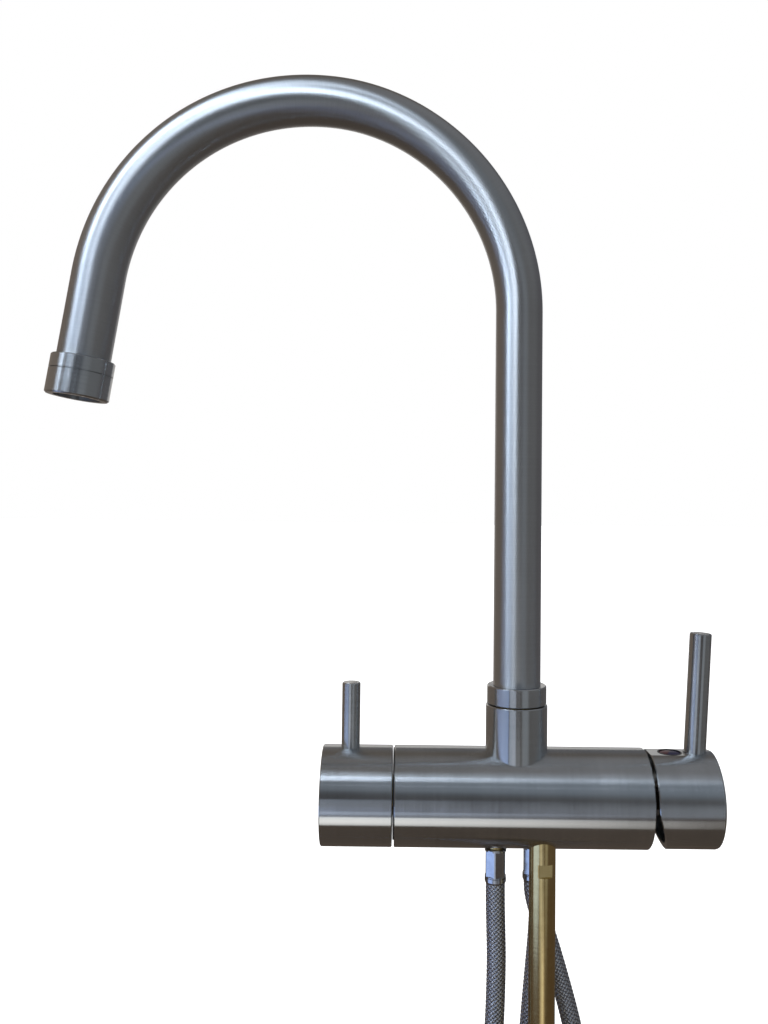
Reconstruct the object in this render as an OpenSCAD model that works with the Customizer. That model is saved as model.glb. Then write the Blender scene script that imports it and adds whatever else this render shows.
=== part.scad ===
// Three-way kitchen tap: a mixer on one end of a horizontal body, a quarter-turn valve for
// filtered water on the other, and one swan-neck spout that carries both apart to the outlet.
// Origin at the deck, under the spout axis: X along the body, Y to the back, Z up.

/* [Body] */
// Outside diameter of the horizontal body
body_d = 45; // [44.5:0.5:50]
// Wall of the body tube
body_wall = 3; // [2.5:0.25:3.5]
// Body end on the filter side, from the spout axis
body_left = 56.6; // [55:0.2:62]
// Body end on the mixer side, from the spout axis
body_right = 59.6; // [58:0.2:66]
// Depth of the flat milled along the underside, which sits on the deck
seat_flat = 0.5; // [0.2:0.1:0.8]
// End of the brass core on the filter side, from the spout axis
core_left = 34; // [32:0.5:36]
// Small bevel on the turned edges
edge = 0.4; // [0.2:0.1:0.8]

/* [Clearances] */
// Radial clearance between pieces that are screwed, pressed or brazed together
slip = 0.05; // [0.03:0.01:0.08]
// Radial clearance of pieces that turn or slide
run = 0.07; // [0.05:0.01:0.09]

/* [Neck and swivel] */
// Outside diameter of the neck that stands on the body
neck_d = 28.5; // [28:0.25:31]
// Bore of the neck that the spout turns in
neck_bore_d = 24; // [23.5:0.1:24.5]
// Height of the neck's top above the body's axis
neck_h = 42.8; // [41:0.2:50]
// Wall of the neck's spigot inside the body
spigot_wall = 1; // [0.8:0.1:1.4]
// Height of the socket floor above the body's axis
socket_floor = 10; // [9:0.2:11]
// Diameter of the retaining grub screw at the back of the neck
neck_screw_d = 5; // [4:0.5:6]
// Section of the spout's sealing rings
seal_d = 2.3; // [1.8:0.1:2.6]
// Length of each swivel bush
bush_l = 4; // [3:0.5:5]

/* [Spout] */
// Outside diameter of the spout tube
tube_d = 22; // [21:0.25:22.5]
// Wall of the spout tube
tube_wall = 1; // [0.8:0.1:1.4]
// Angle that the spout is turned to the front at rest
spout_turn = 16.5; // [0:0.5:30]
// Straight column from the neck's top to the bend
column_l = 183.7; // [160:0.5:220]
// Bend radius of the rising quarter, to the tube's centre
rise_r = 89.5; // [80:0.5:100]
// Bend radius of the falling part, to the tube's centre
fall_r = 102; // [90:0.5:110]
// Whole angle that the spout bends through
sweep = 171.5; // [160:0.5:178]
// Straight end from the bend to the outlet seam
outlet_l = 40.8; // [36:0.2:60]
// Diameter of the ring at the spout's foot
collar_d = 27.5; // [26.5:0.25:28]
// Height of the ring at the spout's foot
collar_h = 8.5; // [7:0.25:12]
// Gap of the dark seams that show between rings
seam_gap = 0.4; // [0.3:0.05:0.6]

/* [Outlet] */
// Diameter of the outlet collar and the aerator housing
outlet_d = 26; // [25.5:0.25:30]
// Length of the outlet collar that shows above the seam
outlet_h = 5.8; // [5:0.2:9]
// Length of the aerator housing
aerator_h = 10.3; // [9.5:0.1:14]
// Outside diameter of the inner tube for filtered water
inner_tube_d = 8; // [7:0.25:8.5]
// Wall of the inner tube
inner_tube_wall = 0.8; // [0.6:0.1:1]
// Holes in the ring of the aerator
aerator_holes = 16; // [8:1:18]

/* [Filter valve] */
// Length of the turning sleeve
sleeve_l = 32.5; // [30:0.5:40]
// Gap between the sleeve and the body
sleeve_gap = 0.9; // [0.5:0.1:1.5]
// Thickness of the sleeve's closed end
sleeve_end = 4; // [3:0.5:5]
// Distance of the filter lever from the sleeve's open rim
filter_lever_in = 19.7; // [14:0.1:22]
// Diameter of the filter lever
filter_lever_d = 8.5; // [7:0.25:10]
// Height of the filter lever's top above the body's axis
filter_lever_h = 52; // [40:0.5:80]
// Outside diameter of the valve headwork
headwork_d = 17.8; // [17.4:0.1:19]
// Depth that the headwork is screwed into the core
headwork_in = 8; // [6:0.5:9]
// Diameter of the valve spindle
spindle_d = 7.8; // [7:0.1:8.5]

/* [Mixer] */
// Outside diameter of the mixer cap
cap_d = 44; // [43.5:0.25:46]
// Wall of the mixer cap
cap_wall = 2.6; // [2:0.1:3]
// Bevel inside the mixer cap's open rim
cap_mouth = 1.4; // [0.4:0.1:1.5]
// Length of the mixer cap along its top
cap_l = 29.9; // [28:0.1:38]
// Gap between the body and the cap's upper rim
cap_gap = 1.7; // [1.5:0.1:2.5]
// Bevel of the cap's lower rim, which leaves room for the tilt
cap_bevel = 17.5; // [17:0.5:22]
// Depth of the flat milled on top of the cap
cap_flat = 0.8; // [0.4:0.1:1.2]
// Diameter of the mixer lever
mixer_lever_d = 10; // [8:0.25:11]
// Foot of the mixer lever, from the cap's upper rim
mixer_lever_in = 21.85; // [20:0.1:24]
// Outward lean of the mixer lever
mixer_lever_lean = 3; // [0:0.5:8]
// Height of the mixer lever's top above the body's axis
mixer_lever_h = 76.5; // [60:0.5:100]
// Width of the square stem
stem_w = 8; // [7:0.25:8.5]
// Distance of the tilt axis inside the body's end
pivot_in = 5.6; // [5:0.1:6.5]
// Distance from the tilt axis to the stem's inner ball
tongue_l = 16; // [15:0.25:17]
// Largest tilt of the handle
tilt_max = 17; // [15:0.5:17]
// Diameter of the pivot pin
pin_d = 3; // [2.5:0.25:3.5]
// Diameter of the index button
index_d = 11; // [9:0.25:11]
// Centre of the index button, in from the mixer lever's axis
index_in = 11.75; // [11.65:0.05:13.5]
// Depth of the pocket that the index button sits in
index_sunk = 1.1; // [0:0.1:1.2]

/* [Under the deck] */
// Diameter of the fixing stud
stud_d = 12; // [10:0.5:12]
// Length of the stud below the deck face
stud_l = 120; // [116:1:150]
// Threaded length at the stud's free end
thread_l = 36; // [32:1:40]
// Distance of the clamp's rubber above the stud's free end
clamp_up = 26; // [22:0.5:28]
// Diameter of the braided hoses
hose_d = 9; // [8:0.25:9.5]
// Diameter of the crimped ferrules
ferrule_d = 10; // [9.9:0.1:10.4]
// Length of the crimped ferrules
ferrule_l = 15.6; // [10:0.2:16]
// Width across the flats of the union nuts
union_af = 19; // [18.5:0.5:22]
// Bore of the union nuts at the thread
union_bore_d = 15; // [14.8:0.1:15.2]

/* [Hidden] */

round_steps = 72;
small_steps = 36;
far = 400;

body_r = body_d / 2;
axis_z = body_r - seat_flat;
bore_r = body_r - body_wall;
core_r = bore_r - slip;

neck_r = neck_d / 2;
neck_bore_r = neck_bore_d / 2;
spigot_r = neck_bore_r + spigot_wall;
neck_top = axis_z + neck_h;
socket_z = axis_z + socket_floor;

tube_r = tube_d / 2;
tube_bore_r = tube_r - tube_wall;
inner_r = inner_tube_d / 2;
inner_bore_r = inner_r - inner_tube_wall;
foot_z = neck_top + seam_gap;
shoulder_h = 1.4;
tube_foot_z = foot_z + shoulder_h;
bend_z = neck_top + column_l;
collar_r = collar_d / 2;

// The swivel nipple, its two bushes, two sealing rings and the retaining groove
nipple_gap = 0.4;
nipple_r = neck_bore_r - nipple_gap;
nipple_bore_r = 7.5;
nipple_grip = 18;
nipple_foot_z = socket_z + 1.5;
groove_r = nipple_r - 1.8;
bush_top_z = neck_top - 2.5;
bush_low_z = nipple_foot_z + 2;
neck_screw_r = neck_screw_d / 2;
neck_screw_z = bush_top_z - bush_l - 1.2 - neck_screw_r;
screw_groove_h = neck_screw_d + 0.6;
seal_r = seal_d / 2;
seal_span = neck_screw_z - screw_groove_h / 2 - bush_low_z - bush_l;
seal_zs = [bush_low_z + bush_l + seal_span * 0.3, bush_low_z + bush_l + seal_span * 0.7];

outlet_r = outlet_d / 2;
outlet_thread_r = outlet_r - 1.2;
housing_bore_r = outlet_thread_r + slip;
spigot_t = outlet_l + 4.2;
washer_t = 1;
insert_t = 3.6;
lip_r = outlet_r - 3.4;

// Where each pipe and the stud come out of the body, seen from above
filtered_port = [-9.4, -1];
cold_port = [8.5, 2.6];
hot_port = [12.6, 12.9];
stud_port = [11.1, -9.4];
ports = [filtered_port, cold_port, hot_port];
port_r = 5.2;
port_depth = 11;
lane_r = 2;

stud_r = stud_d / 2;
stud_in = 14;
thread_r = stud_r - 0.1;
stud_flat_top = -3.9;
stud_flat_l = 5.8;
stud_flat_af = stud_d * 0.83;
stud_flat_turn = 10;

tail_r = 4.9;
tail_neck_r = 3.5;
barb_r = 2.6;
ferrule_r = ferrule_d / 2;
mouth_roll = 0.4;
groove_foot = 2.5;
groove_w = 0.4;
groove_in = 0.4;
crimp_af = ferrule_d * 0.9;
crimp_turn = -68;
ferrule_top = -1.2;
ferrule_foot = ferrule_top - ferrule_l;
hose_r = hose_d / 2;
hose_sides = 10;

// Points that each free hose follows below its ferrule, chosen by eye from how it hangs
filtered_route = [[-9.4, -1, -18], [-9.3, -1, -27], [-9, -1, -38], [-8.7, -1, -50], [-8.8, -1, -62],
    [-9.1, -1, -74], [-9.7, -1.2, -88], [-10.4, -1.6, -104], [-11.2, -2, -124], [-12, -2.4, -146],
    [-12.7, -2.8, -170], [-13.3, -3.1, -195], [-13.7, -3.4, -220], [-14, -3.6, -246],
    [-14, -3.8, -272], [-14, -4, -298], [-14, -4, -324], [-14, -4, -346], [-14, -4, -368]];
cold_route = [[8.5, 2.6, -18], [8.9, 2.6, -22.5], [10.1, 2.6, -28], [12, 2.6, -34], [14.3, 2.6, -40],
    [17.6, 2.6, -50], [21.2, 2.6, -62], [24.6, 2.6, -74], [27.6, 2.6, -86], [30.2, 2.6, -99],
    [32.2, 2.6, -113], [33.8, 2.7, -130], [35, 2.8, -150], [35.6, 2.9, -172], [36, 3, -196],
    [36, 3, -221], [36, 3, -246], [36, 3, -271], [36, 3, -296], [36, 3, -321], [36, 3, -344],
    [36, 3, -366]];
hot_route = [[12.6, 12.9, -18], [12.6, 12.9, -28], [12.4, 13, -38], [11.8, 13.1, -49],
    [10.9, 13.3, -60], [9.9, 13.5, -72], [8.8, 13.8, -86], [7.8, 14.1, -102], [7, 14.4, -120],
    [6.5, 14.7, -140], [6.2, 14.9, -162], [6, 15, -186], [6, 15, -212], [6, 15, -238],
    [6, 15, -264], [6, 15, -290], [6, 15, -316], [6, 15, -342], [6, 15, -368]];

// The union nut and the flanged end inside it
union_h = 14;
union_top = 2;
union_relief = 4;
union_bore_r = union_bore_d / 2;
union_neck_r = 4;
union_drop = 17;
flange_r = union_bore_r - 0.2;
flange_h = 1.7;
seat_washer_h = 2;

// The valve headwork runs from inside the core, through the seam, into the sleeve
headwork_r = headwork_d / 2;
headwork_foot = core_left - headwork_in;
headwork_wall = 1.4;
headwork_nose = 5.5;
disc_r = headwork_r - headwork_wall - 0.1;
disc_t = 3;
spindle_r = spindle_d / 2;
valve_chamber = 19;
sleeve_open = body_left + sleeve_gap;
sleeve_far = sleeve_open + sleeve_l;
hub_r = 8;
hub_l = 18;
spindle_grip = 10;
filter_lever_x = -(sleeve_open + filter_lever_in);
filter_lever_r = filter_lever_d / 2;
key_hole_r = 2.6;
grub_r = 2.4;

// The mixer cartridge, from the core outwards
nut_recess = 1.6;
cover_t = 0.8;
cartridge_nut_t = 8;
cartridge_r = bore_r - 2;
cartridge_l = 26;
core_right = body_right - nut_recess - cartridge_nut_t - cartridge_l;
cartridge_neck_r = 12;
cartridge_wall = 2.9;
chamber_r = cartridge_r - cartridge_wall;
base_t = 3;
fixed_disc_t = 3.5;
moving_disc_t = 3.5;
carrier_t = 6.4;
cartridge_roof_t = 2.9;
cartridge_out = 1;
turret_neck_r = 9.8;
turret_out = 2.4;
turret_flange_t = 4.8;
pivot_x = body_right - pivot_in;
pin_r = pin_d / 2;
tongue_r = 3;
tongue_neck_r = 2.25;
tongue_x = pivot_x - tongue_l;
disc_shift = tongue_l * sin(tilt_max) / 2;
moving_disc_r = chamber_r - disc_shift - 0.3;
disc_front = core_right + base_t + fixed_disc_t;
carrier_back = disc_front + moving_disc_t;

cap_r = cap_d / 2;
cap_open = body_right + cap_gap;
cap_far = cap_open + cap_l;
cap_end_t = 4;
cap_boss_r = 7.5;
cap_boss_in = 4.2;
cap_socket_gap = 2.7;
mixer_lever_r = mixer_lever_d / 2;
mixer_lever_x = cap_open + mixer_lever_in;
index_x = mixer_lever_x - index_in;
index_r = index_d / 2;
index_plug_r = 2.65;
index_base_h = 0.7;
index_face_h = 0.7;
index_wall = 0.6;

steel = [0.55, 0.56, 0.58];
dark_steel = [0.42, 0.43, 0.45];
brass = [0.72, 0.6, 0.3];
black = [0.12, 0.12, 0.13];
white_ceramic = [0.93, 0.92, 0.88];
grey_plastic = [0.6, 0.62, 0.64];
rubber = [0.16, 0.16, 0.17];

// A point on the body's axis, with the children's Z turned to point along X
module on_axis(x) {
    translate([x, 0, axis_z]) rotate([0, 90, 0]) children();
}

// The same, with the children's Z pointing to the filter side
module on_axis_left(x) {
    translate([-x, 0, axis_z]) rotate([0, -90, 0]) children();
}

// A turned ring that stands on its lower face
module ring(outer, inner, h) {
    difference() {
        cylinder(r = outer, h = h, $fn = round_steps);
        translate([0, 0, -1]) cylinder(r = inner, h = h + 2, $fn = round_steps);
    }
}

// A turned ring with both outer edges bevelled
module bevelled_ring(outer, inner, h, b) {
    rotate_extrude($fn = round_steps)
        polygon([[inner, 0], [outer - b, 0], [outer, b], [outer, h - b], [outer - b, h], [inner, h]]);
}

// A round pin with a bevelled far end
module bevelled_pin(r, h, b) {
    rotate_extrude($fn = small_steps)
        polygon([[0, 0], [r, 0], [r, h - b], [r - b, h], [0, h]]);
}

// A round ring of wire in its groove
module o_ring(centre_r, wire_r) {
    rotate_extrude($fn = round_steps)
        translate([centre_r, 0])
            circle(r = wire_r, $fn = small_steps);
}

// Everything that turns with the spout is drawn bending to the left, then turned to its rest
module spout_frame() {
    rotate([0, 0, spout_turn]) children();
}

// Places children at the end of the bend, with Z along the water's way out
module at_outlet(t) {
    translate([-rise_r, 0, bend_z + rise_r - fall_r])
        rotate([0, -sweep, 0])
            translate([fall_r, 0, t])
                children();
}

// One hollow stretch of bend in the spout's plane, between two angles
module bend(r, outer, inner, from, to) {
    rotate([90, 0, 0]) rotate([0, 0, from])
        rotate_extrude(angle = to - from, $fn = round_steps)
            translate([r, 0])
                difference() {
                    circle(r = outer, $fn = round_steps);
                    circle(r = inner, $fn = round_steps);
                }
}

// A pipe along the spout's centre line, from a height on the column to a length past the bend
module spout_pipe(outer, inner, foot, end_t) {
    lap = 0.005;
    translate([0, 0, foot]) ring(outer, inner, bend_z - foot);
    translate([-rise_r, 0, bend_z]) bend(rise_r, outer, inner, 0, 90);
    translate([-rise_r, 0, bend_z + rise_r - fall_r]) bend(fall_r, outer, inner, 90, sweep + lap);
    at_outlet(0) ring(outer, inner, end_t);
}

// A hole from below into the body, at a port's place
module port_hole(p, r, top) {
    translate([p[0], p[1], -1]) cylinder(r = r, h = top + 1, $fn = small_steps);
}

// A waterway drilled along the body, at a distance to the back and above the axis
module lane(from, to, y, up, r) {
    translate([from, y, axis_z + up]) rotate([0, 90, 0])
        cylinder(r = r, h = to - from, $fn = small_steps);
}

module body_shell() {
    color(steel)
    difference() {
        on_axis(-body_left) bevelled_ring(body_r, bore_r, body_left + body_right, edge);
        translate([-far / 2, -far / 2, -far]) cube([far, far, far]);
        translate([0, 0, axis_z]) cylinder(r = spigot_r + slip, h = body_d, $fn = round_steps);
        for (p = ports) port_hole(p, port_r, axis_z);
        port_hole(stud_port, stud_r + slip, axis_z);
    }
}

// The neck stands on the body like a saddle, and its spigot goes down into the core
module neck() {
    color(steel)
    difference() {
        union() {
            difference() {
                translate([0, 0, axis_z]) bevelled_ring(neck_r, neck_bore_r, neck_h, edge);
                on_axis(-body_d) cylinder(r = body_r + slip, h = body_d * 2, $fn = round_steps * 2);
            }
            translate([0, 0, socket_z]) ring(spigot_r, neck_bore_r, neck_h - socket_floor - 2);
        }
        translate([0, 0, neck_screw_z])
            rotate([-90, 0, 0])
                cylinder(r = neck_screw_r + slip, h = neck_d, $fn = small_steps);
    }
}

module neck_screw() {
    color(dark_steel)
    translate([0, groove_r + 0.2, neck_screw_z])
        rotate([-90, 0, 0])
            difference() {
                bevelled_pin(neck_screw_r, neck_r - groove_r - 0.8, 0.3);
                translate([0, 0, neck_r - groove_r - 2.8]) cylinder(r = 1.25, h = 3, $fn = 6);
            }
}

module valve_core() {
    mixed_x = 5.5;
    color(brass)
    difference() {
        on_axis(-core_left) cylinder(r = core_r, h = core_left + core_right, $fn = round_steps);
        translate([0, 0, socket_z]) cylinder(r = spigot_r + slip, h = body_d, $fn = round_steps);
        translate([0, 0, axis_z + 1]) cylinder(r = inner_r + run, h = body_d, $fn = small_steps);
        translate([mixed_x, -4, axis_z + 7]) cylinder(r = lane_r, h = socket_floor, $fn = small_steps);
        lane(mixed_x, far, -4, 7, lane_r);
        lane(-far, 0, 0, 4, lane_r);
        lane(-far, filtered_port[0], filtered_port[1], -5, lane_r);
        lane(cold_port[0], far, cold_port[1], -7, lane_r);
        lane(hot_port[0], far, hot_port[1] - 1.4, -3, lane_r);
        for (p = ports) port_hole(p, port_r, port_depth);
        port_hole(filtered_port, lane_r, axis_z - 5);
        port_hole(cold_port, lane_r, axis_z - 7);
        port_hole(hot_port, lane_r, axis_z - 3);
        port_hole(stud_port, stud_r + slip, stud_in);
        on_axis_left(headwork_foot)
            cylinder(r = headwork_r + slip, h = headwork_in + 1, $fn = round_steps);
    }
}

// Fixed outer shell of the ceramic mixer cartridge, with a chamber and a neck that the turret turns in
module cartridge_housing() {
    chamber_l = cartridge_l - base_t - cartridge_roof_t;
    neck_l = nut_recess + cartridge_nut_t + cartridge_out;
    color(grey_plastic)
    difference() {
        union() {
            on_axis(core_right + base_t)
                cylinder(r = cartridge_r, h = cartridge_l - base_t, $fn = round_steps);
            on_axis(core_right + cartridge_l)
                cylinder(r = cartridge_neck_r, h = neck_l, $fn = round_steps);
        }
        on_axis(core_right + base_t - 1) cylinder(r = chamber_r, h = chamber_l + 1, $fn = round_steps);
        on_axis(core_right) cylinder(r = turret_neck_r + run, h = far, $fn = round_steps);
    }
}

// The three waterways through the cartridge's base and its fixed disc, seen from the body's middle
module cartridge_ports(r, x, l) {
    for (p = [[-4, 7], [cold_port[1], -7], [hot_port[1] - 1.4, -3]])
        translate([x, p[0], axis_z + p[1]])
            rotate([0, 90, 0])
                cylinder(r = r, h = l, $fn = small_steps);
}

module cartridge_base() {
    color(grey_plastic)
    difference() {
        on_axis(core_right) cylinder(r = cartridge_r, h = base_t, $fn = round_steps);
        cartridge_ports(lane_r + 1.2, core_right - 1, 2);
        cartridge_ports(lane_r, core_right - 1, base_t + 2);
    }
}

module cartridge_seals() {
    color(rubber)
    difference() {
        cartridge_ports(lane_r + 1.15, core_right, 0.95);
        cartridge_ports(lane_r, core_right - 1, 3);
    }
}

module cartridge_disc() {
    color(white_ceramic)
    difference() {
        on_axis(core_right + base_t) cylinder(r = chamber_r - slip, h = fixed_disc_t, $fn = round_steps);
        cartridge_ports(lane_r, core_right, far);
    }
}

module cartridge_nut() {
    notch_w = 3;
    color(brass)
    difference() {
        on_axis(core_right + cartridge_l)
            bevelled_ring(bore_r - slip, cartridge_neck_r + slip, cartridge_nut_t, edge);
        for (turn = [0 : 90 : 270])
            on_axis(body_right - nut_recess - 2)
                rotate([0, 0, turn])
                    translate([bore_r - 3, -notch_w / 2, 0])
                        cube([4, notch_w, 3]);
    }
}

module dust_cover() {
    color(black)
    on_axis(body_right - nut_recess)
        ring(bore_r - slip, cartridge_neck_r + slip, cover_t);
}

// Brass headwork of the quarter-turn valve: hollow for the discs, with a hexagon to screw it in
module filter_headwork() {
    hex_af = 22;
    hex_t = 6;
    nose_end = sleeve_open + headwork_nose;
    color(brass)
    difference() {
        union() {
            on_axis_left(headwork_foot)
                cylinder(r = headwork_r, h = nose_end - headwork_foot, $fn = round_steps);
            on_axis_left(core_left + 1)
                cylinder(r = hex_af / 2 / cos(30), h = hex_t, $fn = 6);
        }
        on_axis_left(headwork_foot - 1)
            cylinder(r = disc_r + 0.1, h = valve_chamber + 1, $fn = round_steps);
        on_axis_left(headwork_foot)
            cylinder(r = spindle_r + run, h = far, $fn = small_steps);
    }
}

module headwork_seal() {
    color(rubber)
    on_axis_left(core_left)
        ring(headwork_r + 1.8, headwork_r + slip, 1);
}

// Thin black ring on the body's end, which keeps the turning sleeve off it; cut short below
module stop_ring() {
    below_axis = 15.3;
    color(black)
    difference() {
        on_axis_left(body_left)
            ring(body_r - 1.1, headwork_r + slip, sleeve_gap - 0.3);
        translate([-far / 2, -far / 2, axis_z - below_axis - far]) cube([far, far, far]);
    }
}

module filter_fixed_disc() {
    color(white_ceramic)
    difference() {
        on_axis_left(headwork_foot) cylinder(r = disc_r, h = disc_t, $fn = round_steps);
        for (side = [4, -5])
            translate([-headwork_foot + 1, side < 0 ? filtered_port[1] : 0, axis_z + side])
                rotate([0, -90, 0])
                    cylinder(r = lane_r, h = disc_t + 2, $fn = small_steps);
    }
}

// Brass stud: screwed into the core by its spanner flats, plain down to the thread at its free end
module fixing_stud() {
    plain_l = stud_l - thread_l;
    color(brass)
    difference() {
        translate([stud_port[0], stud_port[1], 0]) {
            translate([0, 0, -plain_l])
                cylinder(r = stud_r, h = plain_l + stud_in - slip, $fn = round_steps);
            translate([0, 0, -plain_l]) mirror([0, 0, 1]) bevelled_pin(thread_r, thread_l, 1);
        }
        translate([stud_port[0], stud_port[1], stud_flat_top - stud_flat_l])
            rotate([0, 0, stud_flat_turn])
                for (side = [0, 180])
                    rotate([0, 0, side])
                        translate([-stud_d, stud_flat_af / 2, 0])
                            cube([stud_d * 2, stud_d, stud_flat_l]);
    }
}

// Crescent that hooks over the stud below the deck and leaves the hoses free
module crescent(h) {
    middle = [5, 6];
    inner = 7.5;
    outer = 23.5;
    half_sweep = 45;
    away = stud_port - middle;
    facing = atan2(away[1], away[0]);
    difference() {
        translate([middle[0], middle[1], 0])
            rotate([0, 0, facing - half_sweep])
                rotate_extrude(angle = half_sweep * 2, $fn = round_steps)
                    translate([inner, 0])
                        square([outer - inner, h]);
        translate([stud_port[0], stud_port[1], -1])
            cylinder(r = stud_r + 0.3, h = h + 2, $fn = round_steps);
    }
}

clamp_rubber_t = 3;
clamp_plate_t = 2.5;
clamp_nut_t = 10;
clamp_z = -stud_l + clamp_up;

module clamp_rubber() {
    color(rubber)
    translate([0, 0, clamp_z - clamp_rubber_t]) crescent(clamp_rubber_t);
}

module clamp_plate() {
    color(steel)
    translate([0, 0, clamp_z - clamp_rubber_t - clamp_plate_t]) crescent(clamp_plate_t);
}

module clamp_nut() {
    across = 19;
    color(brass)
    translate([stud_port[0], stud_port[1], clamp_z - clamp_rubber_t - clamp_plate_t - clamp_nut_t])
        difference() {
            cylinder(r = across / 2 / cos(30), h = clamp_nut_t, $fn = 6);
            translate([0, 0, -1]) cylinder(r = thread_r + slip, h = clamp_nut_t + 2, $fn = round_steps);
        }
}

// Brass tail: screwed into the core, with a barb down inside the ferrule
module tail(p) {
    groove_z = 5;
    color(brass)
    translate([p[0], p[1], 0])
        rotate_extrude($fn = small_steps)
            polygon([[0, ferrule_top - ferrule_l * 0.6], [barb_r, ferrule_top - ferrule_l * 0.6],
                [barb_r, ferrule_top], [tail_neck_r, ferrule_top], [tail_neck_r, groove_z],
                [tail_r, groove_z], [tail_r, port_depth - slip - 0.5], [tail_r - 0.5, port_depth - slip],
                [0, port_depth - slip]]);
}

module filtered_tail() { tail(filtered_port); }
module cold_tail() { tail(cold_port); }
module hot_tail() { tail(hot_port); }

module tail_o_rings() {
    wire = 0.75;
    color(rubber)
    for (p = ports)
        translate([p[0], p[1], 5 - wire])
            o_ring(tail_neck_r + slip + wire, wire);
}

// Outline of a ferrule of length l, from the mouth where the hose goes in
function ferrule_outline(l) =
    [[0, 0], [ferrule_r - mouth_roll, 0], [ferrule_r - 0.05, 0.8], [ferrule_r - 0.05, groove_foot],
        [ferrule_r - groove_in, groove_foot], [ferrule_r - groove_in, groove_foot + groove_w],
        [ferrule_r, groove_foot + groove_w], [ferrule_r, l - 0.4], [ferrule_r - 0.4, l]];

// What the crimping jaws take off a ferrule of length l: six flats above its groove
module crimp_flats(l) {
    foot = groove_foot + groove_w + 0.3;
    for (side = [0 : 5])
        rotate([0, 0, crimp_turn + side * 60])
            translate([crimp_af / 2, -ferrule_r, foot])
                cube([ferrule_r, ferrule_d, l - foot - 1]);
}

// Steel ferrule pressed on the hose, over the tail's barb
module ferrule(p) {
    barb_in = ferrule_l * 0.4 - slip;
    color(steel)
    translate([p[0], p[1], ferrule_foot])
        difference() {
            rotate_extrude($fn = small_steps)
                polygon(concat(ferrule_outline(ferrule_l),
                    [[barb_r + slip, ferrule_l], [barb_r + slip, barb_in], [0, barb_in]]));
            crimp_flats(ferrule_l);
        }
}

module filtered_ferrule() { ferrule(filtered_port); }
module cold_ferrule() { ferrule(cold_port); }
module hot_ferrule() { ferrule(hot_port); }

function unit(v) = v / norm(v);
// Direction of the route at a point: straight down at both ends, along its neighbours between
function heading(route, i) =
    i == 0 || i == len(route) - 1 ? [0, 0, -1] : unit(route[i + 1] - route[i - 1]);
// A ring of points round the route, square to its direction
function hose_ring(route, i, r, sides) =
    let (
        way = heading(route, i),
        across = unit(cross([0, 1, 0], way)),
        back = cross(way, across)
    )
    [for (k = [0 : sides - 1])
        route[i] + r * cos(360 * k / sides) * across + r * sin(360 * k / sides) * back];
// The route, with its first point moved to the ferrule's foot
function from_ferrule(route) =
    [for (i = [0 : len(route) - 1]) i == 0 ? [route[0][0], route[0][1], ferrule_foot] : route[i]];

module hose(route) {
    points_list = [for (i = [0 : len(route) - 1]) each hose_ring(route, i, hose_r, hose_sides)];
    last = (len(route) - 1) * hose_sides;
    walls = [for (i = [0 : len(route) - 2], k = [0 : hose_sides - 1])
        let (
            a = i * hose_sides + k,
            b = i * hose_sides + (k + 1) % hose_sides
        )
        each [[a, b, b + hose_sides], [a, b + hose_sides, a + hose_sides]]];
    top = [for (k = [1 : hose_sides - 2]) [0, k + 1, k]];
    foot = [for (k = [1 : hose_sides - 2]) [last, last + k, last + k + 1]];
    color([0.6, 0.62, 0.65])
    polyhedron(points = points_list, faces = concat(walls, top, foot), convexity = 4);
}

module filtered_hose() { hose(from_ferrule(filtered_route)); }
module cold_hose() { hose(from_ferrule(cold_route)); }
module hot_hose() { hose(from_ferrule(hot_route)); }

function route_end(route) = route[len(route) - 1];

// Lower ferrule with the flanged nipple that the union nut draws up
module hose_end(route) {
    crimp_l = 14;
    flange_top = union_drop + union_top + slip;
    color(steel)
    translate(route_end(route))
        mirror([0, 0, 1])
            difference() {
                rotate_extrude($fn = small_steps)
                    polygon(concat(ferrule_outline(crimp_l),
                        [[union_neck_r, crimp_l], [union_neck_r, flange_top], [flange_r, flange_top],
                            [flange_r, flange_top + flange_h], [0, flange_top + flange_h]]));
                crimp_flats(crimp_l);
            }
}

module filtered_end() { hose_end(filtered_route); }
module cold_end() { hose_end(cold_route); }
module hot_end() { hose_end(hot_route); }

module inlet_washers() {
    color(rubber)
    for (route = [filtered_route, cold_route, hot_route])
        translate(route_end(route) - [0, 0, union_drop + union_top + 2 * slip + flange_h + seat_washer_h])
            ring(flange_r, 4.5, seat_washer_h);
}

// Union nut: hexagon with a turned top, relieved above its thread
module union_nut(route) {
    hex_r = union_af / 2 / cos(30);
    color([0.75, 0.72, 0.62])
    translate(route_end(route) - [0, 0, union_drop + union_h])
        difference() {
            intersection() {
                cylinder(r = hex_r, h = union_h, $fn = 6);
                rotate_extrude($fn = round_steps)
                    polygon([[0, 0], [union_af / 2, 0], [hex_r, 1], [hex_r, union_h - 1],
                        [union_af / 2, union_h], [0, union_h]]);
            }
            translate([0, 0, -1])
                cylinder(r = union_bore_r, h = union_h - union_top + 1, $fn = round_steps);
            translate([0, 0, union_h - union_top - union_relief])
                cylinder(r = union_bore_r + 0.5, h = union_relief, $fn = round_steps);
            cylinder(r = union_neck_r + run, h = union_h + 1, $fn = small_steps);
        }
}

module filtered_nut() { union_nut(filtered_route); }
module cold_nut() { union_nut(cold_route); }
module hot_nut() { union_nut(hot_route); }

module spout_tube() {
    color(steel)
    spout_frame()
    spout_pipe(tube_r, tube_bore_r, tube_foot_z, outlet_l - slip);
}

module spout_collar() {
    color(steel)
    spout_frame()
    translate([0, 0, foot_z])
        rotate_extrude($fn = round_steps)
            polygon([[nipple_r - 1, 0], [collar_r - edge, 0], [collar_r, edge],
                [collar_r, collar_h - edge],
                [collar_r - edge, collar_h], [tube_r + slip, collar_h], [tube_r + slip, shoulder_h - slip],
                [nipple_r - 1, shoulder_h - slip]]);
}

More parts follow.
